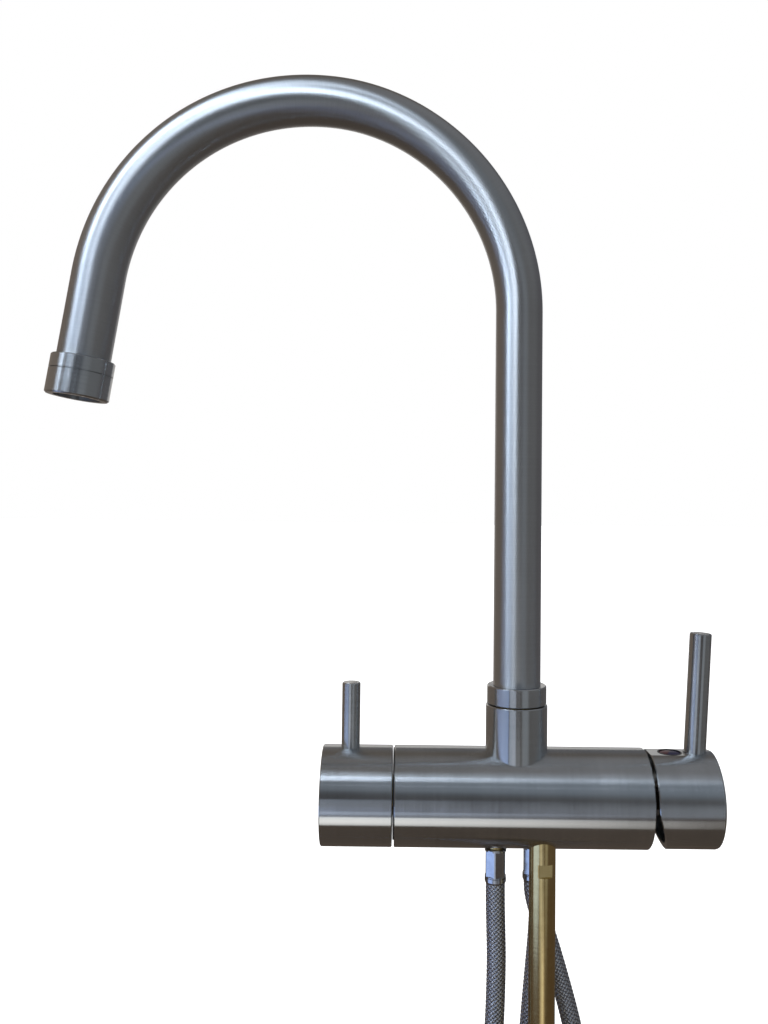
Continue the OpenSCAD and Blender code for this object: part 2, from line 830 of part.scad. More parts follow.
// The swivel nipple: pressed into the tube above, with grooves for bushes, seals and screw below
module spout_nipple() {
    spider_z = tube_foot_z + nipple_grip - 6;
    color(brass)
    spout_frame() {
        difference() {
            union() {
                translate([0, 0, nipple_foot_z])
                    cylinder(r = nipple_r, h = foot_z - 0.2 - nipple_foot_z, $fn = round_steps);
                translate([0, 0, nipple_foot_z])
                    cylinder(r = nipple_r - 1 - slip,
                        h = tube_foot_z - slip - nipple_foot_z, $fn = round_steps);
                translate([0, 0, nipple_foot_z])
                    cylinder(r = tube_bore_r - slip,
                        h = tube_foot_z + nipple_grip - nipple_foot_z, $fn = round_steps);
            }
            translate([0, 0, nipple_foot_z - 1])
                cylinder(r = nipple_bore_r, h = far, $fn = round_steps);
            for (z = [bush_low_z, bush_top_z - bush_l])
                translate([0, 0, z]) ring(neck_d, groove_r, bush_l);
            for (z = seal_zs)
                translate([0, 0, z - seal_r - 0.2]) ring(neck_d, neck_bore_r - seal_d - 0.1, seal_d + 0.4);
            translate([0, 0, neck_screw_z - screw_groove_h / 2]) ring(neck_d, groove_r, screw_groove_h);
        }
        translate([0, 0, spider_z])
            difference() {
                union() {
                    cylinder(r = inner_r + 1.5, h = 5, $fn = small_steps);
                    for (turn = [0, 120, 240])
                        rotate([0, 0, turn])
                            translate([0, -1, 0])
                                cube([nipple_bore_r + 0.5, 2, 5]);
                }
                translate([0, 0, -1]) cylinder(r = inner_r + slip, h = 7, $fn = small_steps);
            }
    }
}

module spout_bushes() {
    color(white_ceramic)
    spout_frame()
    for (z = [bush_low_z, bush_top_z - bush_l])
        translate([0, 0, z + 0.1]) ring(neck_bore_r - run, groove_r + slip, bush_l - 0.2);
}

module spout_o_rings() {
    color(rubber)
    spout_frame()
    for (z = seal_zs)
        translate([0, 0, z]) o_ring(neck_bore_r - run - seal_r, seal_r);
}

module filtered_tube() {
    color([0.85, 0.88, 0.9])
    spout_frame()
    spout_pipe(inner_r, inner_bore_r, axis_z + 7, spigot_t + washer_t + 1.5);
}

// Ring brazed on the tube's end, with a threaded spigot that the housing screws on
module outlet_collar() {
    color(steel)
    spout_frame()
    at_outlet(outlet_l - outlet_h)
        rotate_extrude($fn = round_steps)
            polygon([[tube_r + slip, 0], [outlet_r - edge, 0], [outlet_r, edge], [outlet_r, outlet_h],
                [outlet_thread_r, outlet_h], [outlet_thread_r, spigot_t - outlet_l + outlet_h],
                [tube_bore_r - 0.5, spigot_t - outlet_l + outlet_h], [tube_bore_r - 0.5, outlet_h],
                [tube_r + slip, outlet_h]]);
}

module aerator_housing() {
    mouth_t = spigot_t + washer_t + insert_t + 3 * slip;
    end_t = outlet_l + seam_gap + aerator_h;
    color(steel)
    spout_frame()
    at_outlet(0)
        rotate_extrude($fn = round_steps)
            polygon([[housing_bore_r, outlet_l + seam_gap], [outlet_r, outlet_l + seam_gap],
                [outlet_r, end_t - 0.6], [outlet_r - 0.6, end_t], [lip_r, end_t], [lip_r, mouth_t],
                [housing_bore_r, mouth_t]]);
}

// Mouthpiece: filtered water leaves by the middle, mixed water by the ring of holes round it
module aerator_insert() {
    hole_r = 0.9;
    row_r = lip_r - 2.4;
    color(black)
    spout_frame()
    at_outlet(spigot_t + washer_t + 2 * slip)
        difference() {
            cylinder(r = outlet_thread_r, h = insert_t, $fn = round_steps);
            translate([0, 0, -1]) cylinder(r = inner_r + slip, h = 3, $fn = small_steps);
            cylinder(r = inner_bore_r, h = insert_t + 1, $fn = small_steps);
            for (i = [0 : aerator_holes - 1])
                rotate([0, 0, 360 * i / aerator_holes])
                    translate([row_r, 0, -1])
                        cylinder(r = hole_r, h = insert_t + 2, $fn = 16);
        }
}

module aerator_washer() {
    color(rubber)
    spout_frame()
    at_outlet(spigot_t + slip)
        ring(outlet_thread_r, lip_r, washer_t);
}

// Closed sleeve that turns the filter valve, with a hub inside that grips the spindle
module filter_sleeve() {
    hub_top = sleeve_l - sleeve_end;
    color(steel)
    difference() {
        on_axis_left(sleeve_open)
            rotate_extrude($fn = round_steps)
                polygon([[0, sleeve_l], [body_r - edge, sleeve_l], [body_r, sleeve_l - edge],
                    [body_r, edge],
                    [body_r - edge, 0], [bore_r, 0], [bore_r, hub_top], [hub_r, hub_top],
                    [hub_r, hub_top - hub_l], [0, hub_top - hub_l]]);
        on_axis_left(sleeve_open)
            cylinder(r = spindle_r + slip, h = hub_top - hub_l + spindle_grip + slip, $fn = small_steps);
        translate([filter_lever_x, 0, axis_z + hub_r + 1])
            cylinder(r = filter_lever_r + slip, h = body_r, $fn = small_steps);
        translate([-sleeve_open - hub_top + hub_l - spindle_grip / 2, 0, axis_z])
            mirror([0, 0, 1]) {
                cylinder(r = grub_r + slip, h = hub_r + 1, $fn = small_steps);
                translate([0, 0, hub_r + 1]) cylinder(r = key_hole_r, h = body_r, $fn = small_steps);
            }
    }
}

module filter_lever() {
    color(steel)
    translate([filter_lever_x, 0, axis_z + bore_r + 0.3])
        bevelled_pin(filter_lever_r, filter_lever_h - bore_r - 0.3, edge);
}

module filter_spindle() {
    chamber_end = headwork_foot + valve_chamber;
    hub_top = sleeve_l - sleeve_end;
    end_x = sleeve_open + hub_top - hub_l + spindle_grip;
    color(brass)
    union() {
        on_axis_left(headwork_foot + disc_t * 2 + slip)
            cylinder(r = spindle_r, h = end_x - headwork_foot - disc_t * 2 - slip, $fn = small_steps);
        on_axis_left(chamber_end - 4 - slip)
            cylinder(r = disc_r - 0.2, h = 4, $fn = round_steps);
        on_axis_left(headwork_foot + disc_t * 2 - 1)
            translate([-disc_r * 0.6, -1.5, 0])
                cube([disc_r * 1.2, 3, 3]);
    }
}

module filter_moving_disc() {
    color(white_ceramic)
    difference() {
        on_axis_left(headwork_foot + disc_t + slip)
            cylinder(r = disc_r - slip, h = disc_t - slip, $fn = round_steps);
        on_axis_left(headwork_foot + disc_t * 2 - 1 - slip)
            translate([-disc_r * 0.6 - slip, -1.5 - slip, 0])
                cube([disc_r * 1.2 + 2 * slip, 3 + 2 * slip, 3]);
        on_axis_left(headwork_foot + disc_t)
            intersection() {
                translate([0, 0, 0]) cylinder(r = disc_r - 1.5, h = 1.2, $fn = round_steps);
                translate([-disc_r, 1.8, -1]) cube([disc_r * 2, disc_r, 4]);
            }
    }
}

module filter_screw() {
    hub_top = sleeve_l - sleeve_end;
    color(dark_steel)
    translate([-sleeve_open - hub_top + hub_l - spindle_grip / 2, 0, axis_z - spindle_r - slip])
        mirror([0, 0, 1])
            difference() {
                cylinder(r = grub_r, h = hub_r - spindle_r - 0.3, $fn = small_steps);
                translate([0, 0, 1.5]) cylinder(r = 1.2, h = hub_r, $fn = 6);
            }
}

// Turret: turns in the cartridge's neck and carries the pin that the stem rocks on
module mixer_turret() {
    roof_x = core_right + cartridge_l - cartridge_roof_t;
    end_x = body_right + turret_out;
    slot_w = stem_w + 0.6;
    slot_up = stem_w / 2 + 0.6;
    slot_down = stem_w / 2 + 1 + (end_x - pivot_x) * sin(tilt_max);
    flange_x = roof_x - turret_flange_t - run;
    slot_in = tongue_neck_r + 1 + (pivot_x - flange_x) * tan(tilt_max);
    color([0.2, 0.2, 0.22])
    difference() {
        union() {
            on_axis(flange_x) cylinder(r = chamber_r - 0.2, h = turret_flange_t, $fn = round_steps);
            on_axis(flange_x) cylinder(r = turret_neck_r, h = end_x - flange_x, $fn = round_steps);
        }
        translate([pivot_x, -slot_w / 2, axis_z - slot_down]) cube([far, slot_w, slot_up + slot_down]);
        translate([pivot_x, slot_w / 2, axis_z])
            rotate([90, 0, 0])
                cylinder(r = stem_w / 2 + 1.2, h = slot_w, $fn = small_steps);
        translate([flange_x - 1, -slot_w / 2, axis_z - slot_up])
            cube([pivot_x - flange_x + 1, slot_w, slot_up + slot_in]);
        translate([pivot_x, far / 2, axis_z])
            rotate([90, 0, 0])
                cylinder(r = pin_r + slip / 2, h = far, $fn = small_steps);
    }
}

module pivot_pin() {
    reach = turret_neck_r - 0.8;
    color(steel)
    translate([pivot_x, reach, axis_z])
        rotate([90, 0, 0])
            cylinder(r = pin_r, h = reach * 2, $fn = small_steps);
}

// Carrier of the sliding disc, with the pocket that the stem's ball moves in
module disc_carrier() {
    pocket = tongue_r + 0.15;
    color([0.8, 0.3, 0.2])
    difference() {
        translate([0, 0, -disc_shift])
            on_axis(carrier_back)
                cylinder(r = moving_disc_r, h = carrier_t, $fn = round_steps);
        translate([tongue_x - pocket, -pocket, axis_z - pocket]) cube([carrier_t, pocket * 2, pocket * 2]);
    }
}

module moving_disc() {
    color(white_ceramic)
    translate([0, 0, -disc_shift])
        difference() {
            on_axis(disc_front + slip)
                cylinder(r = moving_disc_r, h = moving_disc_t - slip, $fn = round_steps);
            on_axis(disc_front) cylinder(r = moving_disc_r - 3, h = 2, $fn = round_steps);
        }
}

// Stem: ball in the sliding disc's carrier, hub on the pivot pin, square end in the cap
module mixer_stem() {
    hub_y = stem_w / 2;
    end_x = cap_far - cap_end_t - cap_socket_gap - 0.3;
    color(brass)
    difference() {
        union() {
            translate([tongue_x, 0, axis_z]) sphere(r = tongue_r, $fn = small_steps);
            on_axis(tongue_x) cylinder(r = tongue_neck_r, h = tongue_l, $fn = small_steps);
            translate([pivot_x, hub_y, axis_z]) rotate([90, 0, 0])
                cylinder(r = stem_w / 2, h = stem_w, $fn = round_steps);
            translate([pivot_x, -hub_y, axis_z - hub_y]) cube([end_x - pivot_x, stem_w, stem_w]);
        }
        translate([pivot_x, stem_w, axis_z])
            rotate([90, 0, 0])
                cylinder(r = pin_r + run, h = stem_w * 2, $fn = small_steps);
    }
}

// The cap's plain turned body, hollow round a boss with a square socket
module cap_turning() {
    inner = cap_r - cap_wall;
    end_in = cap_l - cap_end_t;
    round_r = 1;
    on_axis(cap_open)
        rotate_extrude($fn = round_steps)
            polygon([[0, cap_l], [cap_r - round_r, cap_l], [cap_r - round_r * 0.3, cap_l - round_r * 0.3],
                [cap_r, cap_l - round_r], [cap_r, edge], [cap_r - edge, 0], [inner + cap_mouth, 0],
                [inner, cap_mouth], [inner, end_in],
                [cap_boss_r, end_in], [cap_boss_r, cap_boss_in], [0, cap_boss_in]]);
}

// Wedge taken off the lower rim, from the axis down
module cap_wedge() {
    depth = cap_r + 2;
    translate([cap_open, cap_d, axis_z])
        rotate([90, 0, 0])
            linear_extrude(height = cap_d * 2)
                polygon([[-2, 0], [0, 0], [depth * tan(cap_bevel), -depth], [-2, -depth]]);
}

module lever_bar(r, h, b) {
    translate([mixer_lever_x, 0, axis_z + cap_r])
        rotate([0, mixer_lever_lean, 0])
            translate([0, 0, -cap_wall])
                bevelled_pin(r, h + cap_wall, b);
}

module mixer_cap() {
    flat_l = mixer_lever_in - mixer_lever_r + 1.5;
    flat_z = axis_z + cap_r - cap_flat;
    socket_w = stem_w + 2 * slip;
    color(steel)
    difference() {
        cap_turning();
        cap_wedge();
        difference() {
            translate([cap_open - 1, -cap_r, flat_z]) cube([flat_l + 1, cap_d, cap_r]);
            translate([mixer_lever_x, 0, flat_z - 1])
                cylinder(r = mixer_lever_r + 0.5, h = cap_r, $fn = round_steps);
        }
        translate([cap_open, -socket_w / 2, axis_z - socket_w / 2])
            cube([cap_l - cap_end_t - cap_socket_gap, socket_w, socket_w]);
        translate([index_x, 0, axis_z])
            cylinder(r = grub_r + slip, h = cap_boss_r + 1, $fn = small_steps);
        translate([index_x, 0, axis_z + cap_boss_r + 1])
            cylinder(r = index_plug_r + slip, h = cap_r, $fn = small_steps);
        translate([index_x, 0, flat_z - index_sunk])
            cylinder(r = index_r + 2 * slip, h = cap_r, $fn = round_steps);
        lever_bar(mixer_lever_r + slip, mixer_lever_h - cap_r + 5, edge);
    }
}

module mixer_lever() {
    color(steel)
    lever_bar(mixer_lever_r, (mixer_lever_h - cap_r) / cos(mixer_lever_lean), edge);
}

module mixer_screw() {
    color(dark_steel)
    translate([index_x, 0, axis_z + stem_w / 2 + slip])
        difference() {
            cylinder(r = grub_r, h = cap_boss_r - stem_w / 2 + 0.5, $fn = small_steps);
            translate([0, 0, 1.5]) cylinder(r = 1.2, h = cap_boss_r, $fn = 6);
        }
}

index_z = axis_z + cap_r - cap_flat - index_sunk + slip;

module index_button() {
    color(black)
    translate([index_x, 0, index_z]) {
        ring(index_r, index_r - index_wall, index_base_h + index_face_h * 0.7);
        cylinder(r = index_r, h = index_base_h, $fn = round_steps);
        translate([0, 0, -cap_wall])
            cylinder(r = index_plug_r, h = cap_wall + index_base_h, $fn = small_steps);
    }
}

// One half of the coloured face: a shallow dome cut along a line slanted to the lever
module index_half(side) {
    face_r = index_r - index_wall - slip;
    dome_r = (face_r * face_r + index_face_h * index_face_h) / 2 / index_face_h;
    slant = 60;
    translate([index_x, 0, index_z + index_base_h])
        rotate([0, 0, slant + side])
            intersection() {
                translate([0, 0, index_face_h - dome_r]) sphere(r = dome_r, $fn = round_steps * 2);
                translate([-index_d, slip / 2, 0]) cube([index_d * 2, index_d, index_d]);
            }
}

module index_hot() {
    color([0.75, 0.12, 0.1]) index_half(0);
}

module index_cold() {
    color([0.12, 0.14, 0.5]) index_half(180);
}

body_shell();
neck();
valve_core();
neck_screw();
cartridge_housing();
cartridge_base();
cartridge_seals();
cartridge_disc();
cartridge_nut();
dust_cover();
filter_headwork();
headwork_seal();
stop_ring();
filter_fixed_disc();
fixing_stud();
clamp_rubber();
clamp_plate();
clamp_nut();
filtered_tail();
cold_tail();
hot_tail();
tail_o_rings();
filtered_ferrule();
cold_ferrule();
hot_ferrule();
filtered_hose();
cold_hose();
hot_hose();
filtered_end();
cold_end();
hot_end();
inlet_washers();
filtered_nut();
cold_nut();
hot_nut();
spout_tube();
spout_collar();
spout_nipple();
spout_bushes();
spout_o_rings();
filtered_tube();
outlet_collar();
aerator_housing();
aerator_insert();
aerator_washer();
filter_sleeve();
filter_lever();
filter_spindle();
filter_moving_disc();
filter_screw();
mixer_turret();
pivot_pin();
disc_carrier();
moving_disc();
mixer_cap();
mixer_lever();
mixer_stem();
mixer_screw();
index_button();
index_hot();
index_cold();
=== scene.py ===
import math

import bpy
import numpy as np
from mathutils import Matrix


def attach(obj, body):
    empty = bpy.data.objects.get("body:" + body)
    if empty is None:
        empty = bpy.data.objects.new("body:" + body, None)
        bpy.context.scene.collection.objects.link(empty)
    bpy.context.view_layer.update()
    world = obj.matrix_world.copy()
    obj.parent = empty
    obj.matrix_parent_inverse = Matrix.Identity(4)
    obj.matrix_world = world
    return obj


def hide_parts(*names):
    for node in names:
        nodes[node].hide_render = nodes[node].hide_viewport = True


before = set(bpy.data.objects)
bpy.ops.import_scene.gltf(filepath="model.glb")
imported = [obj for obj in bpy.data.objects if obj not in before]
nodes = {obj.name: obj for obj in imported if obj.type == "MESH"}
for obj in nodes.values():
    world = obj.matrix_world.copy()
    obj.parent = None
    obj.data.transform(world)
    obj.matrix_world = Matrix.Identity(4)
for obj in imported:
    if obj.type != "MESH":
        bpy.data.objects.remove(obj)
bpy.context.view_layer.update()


# ---- Camera -----------------------------------------------------------------
# The photograph was taken close in front of the tap, from a little above its
# body and looking slightly up, so the spout's arch leans away from the lens.

def stand(side, up, ahead, at):
    """The placing of a camera or lamp at a point: its right side, its top and the way it looks."""
    return Matrix(np.vstack([np.column_stack([side, up, -ahead, at]), [0, 0, 0, 1]]).tolist())


camera_at = np.array([-0.05424, -0.45588, 0.16081])
looks_up = math.radians(2.178)
rolls = math.radians(0.658)
forward = np.array([0, math.cos(looks_up), math.sin(looks_up)])
upright = np.array([0, -math.sin(looks_up), math.cos(looks_up)])
level = np.array([1.0, 0, 0])
right_side = math.cos(rolls) * level + math.sin(rolls) * upright
top_side = math.cos(rolls) * upright - math.sin(rolls) * level

lens = bpy.data.cameras.new("camera")
lens.sensor_width = 36
lens.lens = 34.032
lens.shift_x = -0.01875
lens.shift_y = -0.05107
lens.clip_start = 0.01
lens.clip_end = 50
camera = bpy.data.objects.new("camera", lens)
camera.matrix_world = stand(right_side, top_side, forward, camera_at)
bpy.context.scene.collection.objects.link(camera)
bpy.context.scene.camera = camera


# ---- Valve core, cartridge and quarter-turn valve ---------------------------
# A brass block with the waterways fills the body. The mixer's ceramic cartridge
# is clamped in its right end by a brass nut, and the quarter-turn valve of the
# filtered water is screwed into its left end.

def colour(code):
    """Linear colour of an sRGB hex code.

    Each value v becomes v / 12.92 up to 0.04045, and ((v + 0.055) / 1.055) to the
    power 2.4 above that.
    """
    values = [int(code[i:i + 2], 16) / 255 for i in (0, 2, 4)]
    return [v / 12.92 if v <= 0.04045 else ((v + 0.055) / 1.055) ** 2.4 for v in values] + [1]


def add(tree, kind, inputs=(), **settings):
    """Adds a shader node.

    The settings are its properties. The inputs give its sockets, by name or number,
    a value or another node's output.
    """
    made = tree.nodes.new(kind)
    for name, value in settings.items():
        setattr(made, name, value)
    for key, value in dict(inputs).items():
        if isinstance(value, bpy.types.NodeSocket):
            tree.links.new(value, made.inputs[key])
        else:
            made.inputs[key].default_value = value
    return made


def material(name, **surface):
    """A material whose surface starts with the given values, and its node tree and shader."""
    made = bpy.data.materials.new(name)
    made.use_nodes = True
    shader = made.node_tree.nodes["Principled BSDF"]
    for socket, value in surface.items():
        shader.inputs[socket.replace("_", " ")].default_value = value
    return made, made.node_tree, shader


def turned(name, dark, light, gloss, lathe, **surface):
    """Turned metal.

    Blotches about 4 mm wide change its tone. Rings round its axis, which are noise
    stretched by the lathe scales, change its roughness between the two values of
    gloss and raise it by up to 0.04 mm.
    """
    made, tree, shader = material(name, Metallic=1.0, **surface)
    place = add(tree, "ShaderNodeTexCoord").outputs["Object"]
    blotch = add(tree, "ShaderNodeTexNoise", {"Vector": place, "Scale": 260, "Detail": 3})
    wound = add(tree, "ShaderNodeMapping", {"Vector": place, "Scale": lathe})
    rings = add(tree, "ShaderNodeTexNoise", {"Vector": wound.outputs[0], "Scale": 1, "Detail": 2})
    tone = add(tree, "ShaderNodeMix", {
        0: blotch.outputs[0], 6: colour(dark), 7: colour(light)}, data_type="RGBA")
    rough = add(tree, "ShaderNodeMapRange", {0: rings.outputs[0], 3: gloss[0], 4: gloss[1]})
    grain = add(tree, "ShaderNodeBump", {
        "Strength": 0.3, "Distance": 0.00004, "Height": rings.outputs[0]})
    tree.links.new(tone.outputs[2], shader.inputs["Base Color"])
    tree.links.new(rough.outputs[0], shader.inputs["Roughness"])
    tree.links.new(grain.outputs[0], shader.inputs["Normal"])
    return made


def moulded(name, dark, light, gloss, grain, depth, **surface):
    """Moulded, drawn or sintered surface.

    Patches about 5 mm wide change its tone and its roughness, between the two
    values of gloss. A finer noise, whose cells are grain metres wide, raises it by
    up to depth metres.
    """
    made, tree, shader = material(name, **surface)
    place = add(tree, "ShaderNodeTexCoord").outputs["Object"]
    patches = add(tree, "ShaderNodeTexNoise", {"Vector": place, "Scale": 220, "Detail": 3})
    grains = add(tree, "ShaderNodeTexNoise", {"Vector": place, "Scale": 1 / grain, "Detail": 2})
    tone = add(tree, "ShaderNodeMix", {
        0: patches.outputs[0], 6: colour(dark), 7: colour(light)}, data_type="RGBA")
    rough = add(tree, "ShaderNodeMapRange", {0: patches.outputs[0], 3: gloss[0], 4: gloss[1]})
    texture = add(tree, "ShaderNodeBump", {
        "Strength": 0.5, "Distance": depth, "Height": grains.outputs[0]})
    tree.links.new(tone.outputs[2], shader.inputs["Base Color"])
    tree.links.new(rough.outputs[0], shader.inputs["Roughness"])
    tree.links.new(texture.outputs[0], shader.inputs["Normal"])
    return made


def dress(surface, *names):
    """Gives the material to the CAD nodes of those names."""
    for name in names:
        nodes[name].data.materials[0] = surface


# Free-cutting brass, turned along the body: a warm yellow with fine lathe rings.
turned_brass = turned("turned_brass", "b39455", "d3b878", (0.2, 0.36), (2400, 60, 60))
dress(turned_brass, "valve_core", "cartridge_nut", "filter_headwork", "filter_spindle")

# Glass-filled nylon, moulded: pale grey and slightly grainy from the fibres.
filled_nylon = moulded(
    "moulded_glass_filled_nylon", "8d9194", "a9adb0", (0.42, 0.58), 0.0004, 0.00003)
dress(filled_nylon, "cartridge_housing", "cartridge_base", "disc_carrier")

# The square stem's brass is coloured near black as painted shade, for the shade deep in the gap beside
# the cap.
shaded_stem_brass = turned("stem_brass_painted_dark_as_shade", "231e17", "342d22", (0.4, 0.55), (2400, 60, 60))
dress(shaded_stem_brass, "mixer_stem")

# Black acetal, moulded with a fine spark-eroded grain, a little shinier where it rubs.
black_acetal = moulded("moulded_black_acetal", "17171a", "232327", (0.34, 0.52), 0.00035, 0.00002)
dress(black_acetal, "dust_cover", "stop_ring", "mixer_turret")

# Alumina ceramic, lapped flat: creamy white, dense and almost polished.
lapped_alumina = moulded(
    "lapped_alumina_ceramic", "e2ddd0", "efebe1", (0.1, 0.2), 0.0003, 0.000004)
dress(lapped_alumina, "cartridge_disc", "moving_disc", "filter_fixed_disc", "filter_moving_disc")

# Nitrile rubber seals and washers: near black and dull, with a faint bloom.
nitrile = moulded("moulded_nitrile_rubber", "161617", "29292b", (0.55, 0.8), 0.0005, 0.00004)
dress(nitrile, "cartridge_seals", "headwork_seal", "clamp_rubber", "tail_o_rings", "inlet_washers",
      "spout_o_rings", "aerator_washer")


# ---- Fixing stud and its clamp ----------------------------------------------
# An M12 brass stud is screwed into the core by its spanner flats and hangs
# through the deck hole. A rubber, a crescent plate and a long nut pull the tap
# down from below, on the thread at the stud's free end.

stud_at = (0.0111, -0.0094)
stud_top = 0.01395
stud_foot = -0.120
stud_radius = 0.006
thread_top = -0.084
thread_radius = 0.0059
thread_pitch = 0.00175
thread_depth = 0.00107
rows_to_a_pitch = 12
foot_bevel = 0.001
flats = (-0.0097, -0.0039)
flat_radius = 0.00498
flat_faces = math.radians(100)


def skin(name, points, along, closed=False, crease=35):
    """Skin over a grid of points, whose rows follow the piece and whose columns go round it.

    Each column meets the next and the last meets the first. The rows end in a flat
    face at each end, or meet each other where closed is true. The UV map holds the
    turn from 0 to 1 and the value that along gives each row. Edges sharper than the
    crease, in degrees, stay crisp.
    """
    rows, sides = points.shape[:2]
    index = np.arange(rows * sides).reshape(rows, sides)
    here, there = (index, np.roll(index, -1, 0)) if closed else (index[:-1], index[1:])
    quads = np.stack([here, np.roll(here, -1, 1), np.roll(there, -1, 1), there], -1)
    ends = [] if closed else [index[0, ::-1].tolist(), index[-1].tolist()]
    turn = np.arange(sides) / sides
    step = 1 / sides
    near = np.broadcast_to(along[:len(here), None], here.shape)
    next_along = np.append(along[1:], along[0]) if closed else along[1:]
    far = np.broadcast_to(next_along[:, None], here.shape)
    left = np.broadcast_to(turn, here.shape)
    corners = np.stack([left, near, left + step, near, left + step, far, left, far], -1)
    end_corners = np.zeros(0 if closed else 4 * sides)
    mesh = bpy.data.meshes.new(name)
    mesh.from_pydata(points.reshape(-1, 3), [], quads.reshape(-1, 4).tolist() + ends)
    mesh.uv_layers.new(name="surface")
    mesh.uv_layers["surface"].uv.foreach_set("vector", np.append(corners.ravel(), end_corners))
    mesh.shade_smooth()
    mesh.set_sharp_from_angle(angle=math.radians(crease))
    piece = bpy.data.objects.new(name, mesh)
    bpy.context.scene.collection.objects.link(piece)
    return piece


def threaded_stud(name, sides=96):
    """A rod with two spanner flats near its top and a thread at its foot.

    Between the ends of the flats the radius is at most their half width over the
    cosine of the angle from them. Over the thread, at height z and turn t, it is the
    crest less a clipped zigzag of z / pitch + t, which grows over the first pitch,
    and the foot is bevelled at 45 degrees.
    """
    thread = np.arange(stud_foot, thread_top, thread_pitch / rows_to_a_pitch)
    heights = np.concatenate([thread, [thread_top] * 2, [flats[0]] * 2, [flats[1]] * 2, [stud_top]])
    threaded = np.arange(len(heights)) <= len(thread)
    flat = np.zeros(len(heights), bool)
    flat[-4:-2] = True
    turn = np.arange(sides) / sides
    z, t = heights[:, None], turn[None]
    zigzag = np.abs(2 * ((z / thread_pitch + t) % 1) - 1)
    grown = np.clip((thread_top - z) / thread_pitch, 0, 1)
    cut = thread_depth * np.clip(1.3 * zigzag - 0.15, 0, 1) * grown
    crest = np.minimum(thread_radius - cut, thread_radius - foot_bevel + (z - stud_foot))
    to_flat = flat_radius / np.maximum(np.abs(np.cos(2 * np.pi * t - flat_faces)), 0.1)
    radius = np.where(threaded[:, None], crest, stud_radius)
    radius = np.where(flat[:, None], np.minimum(radius, to_flat), radius)
    angle = 2 * np.pi * t
    points = np.stack([stud_at[0] + radius * np.cos(angle), stud_at[1] + radius * np.sin(angle),
                       np.broadcast_to(z, radius.shape)], -1)
    return skin(name, points, heights, crease=25)


# Brass bar, drawn and then turned upright: paler and greener than the core, with
# a thin tarnish in blotches, so that its reflections are crisp but uneven.
drawn_brass = turned("drawn_and_tarnished_brass", "c7af78", "dcc791", (0.12, 0.26), (60, 60, 2600))
stud = threaded_stud("threaded_fixing_stud")
stud.data.materials.append(drawn_brass)
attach(stud, "fixed_body")
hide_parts("fixing_stud")
dress(drawn_brass, "clamp_nut")

# Drawn, stamped and rolled mild steel, zinc plated: a bright grey metal with
# uneven reflections and faint rings from the press and the crimping dies.
zinc_plated = turned("zinc_plated_steel", "a4a6ac", "c2c4c9", (0.1, 0.22), (60, 60, 2600))
dress(zinc_plated, "clamp_plate", "pivot_pin")


# ---- Inlet hoses with their tails and unions --------------------------------
# Three flexible hoses hang from brass tails screwed into the core: a rubber tube
# inside a tight braid of thin stainless wires, twelve flat strands wound each
# way, over one and under one. A ferrule is crimped on each end, and a union nut
# turns on the lower one. The hoses keep their own soft bends.

hose_radius = 0.0045
strands = 12
braid_lead = 0.024
braid_depth = 0.00045
wires_to_a_strand = 5
ring_step = 0.0004
ring_sides = 96


def smooth_route(stops, step):
    """Points a fixed step apart on the smooth cubic through the stops, and the distance along it.

    Its slope at each stop is half the way from the stop before to the stop after.
    """
    padded = np.vstack([2 * stops[0] - stops[1], stops, 2 * stops[-1] - stops[-2]])
    t = np.linspace(0, 1, 60, endpoint=False)[:, None]
    a, b, c, d = padded[:-3], padded[1:-2], padded[2:-1], padded[3:]
    a, b, c, d = (p[:, None] for p in (a, b, c, d))
    curve = (2 * b + (c - a) * t + (2 * a - 5 * b + 4 * c - d) * t ** 2
             + (3 * b - a - 3 * c + d) * t ** 3) / 2
    curve = np.vstack([curve.reshape(-1, 3), stops[-1]])
    walked = np.append(0, np.cumsum(np.linalg.norm(np.diff(curve, axis=0), axis=1)))
    along = np.linspace(0, walked[-1], round(walked[-1] / step) + 1)
    return np.column_stack([np.interp(along, walked, curve[:, i]) for i in range(3)]), along


def weave_height(turn, along):
    """How high the braid stands, from 0 to 1.

    A strand rises as a cosine where it crosses over the other family, and its edges
    fall away as the square of the distance from its middle.
    """
    a = strands * (turn + along / braid_lead)
    b = strands * (turn - along / braid_lead)
    first_is_over = (np.round(a) + np.round(b)) % 2 == 0
    off_a, off_b = a - np.round(a), b - np.round(b)
    across = np.where(first_is_over, off_a, off_b)
    over = np.where(first_is_over, off_b, off_a)
    return np.clip(np.cos(np.pi * over) * 0.75 + 0.25 - across ** 2, 0, 1)


def braided_hose(name, stops):
    """A tube along the route through the stops.

    Its radius at each turn and distance is the hose's radius less the depth of the
    braid there.
    """
    centre, along = smooth_route(stops, ring_step)
    ahead = np.gradient(centre, axis=0)
    ahead /= np.linalg.norm(ahead, axis=1)[:, None]
    back = np.array([0, 1.0, 0]) - ahead * ahead[:, 1:2]
    back /= np.linalg.norm(back, axis=1)[:, None]
    side = np.cross(ahead, back)
    turn = np.arange(ring_sides) / ring_sides
    radius = hose_radius - braid_depth * (1 - weave_height(turn[None], along[:, None]))
    angle = 2 * np.pi * turn[None, :, None]
    spoke = np.cos(angle) * back[:, None] + np.sin(angle) * side[:, None]
    return skin(name, centre[:, None] + radius[..., None] * spoke, along / braid_lead)


def maths(tree, operation, *values):
    """The result of one step of arithmetic on the values or outputs."""
    return add(tree, "ShaderNodeMath", dict(enumerate(values)), operation=operation).outputs[0]
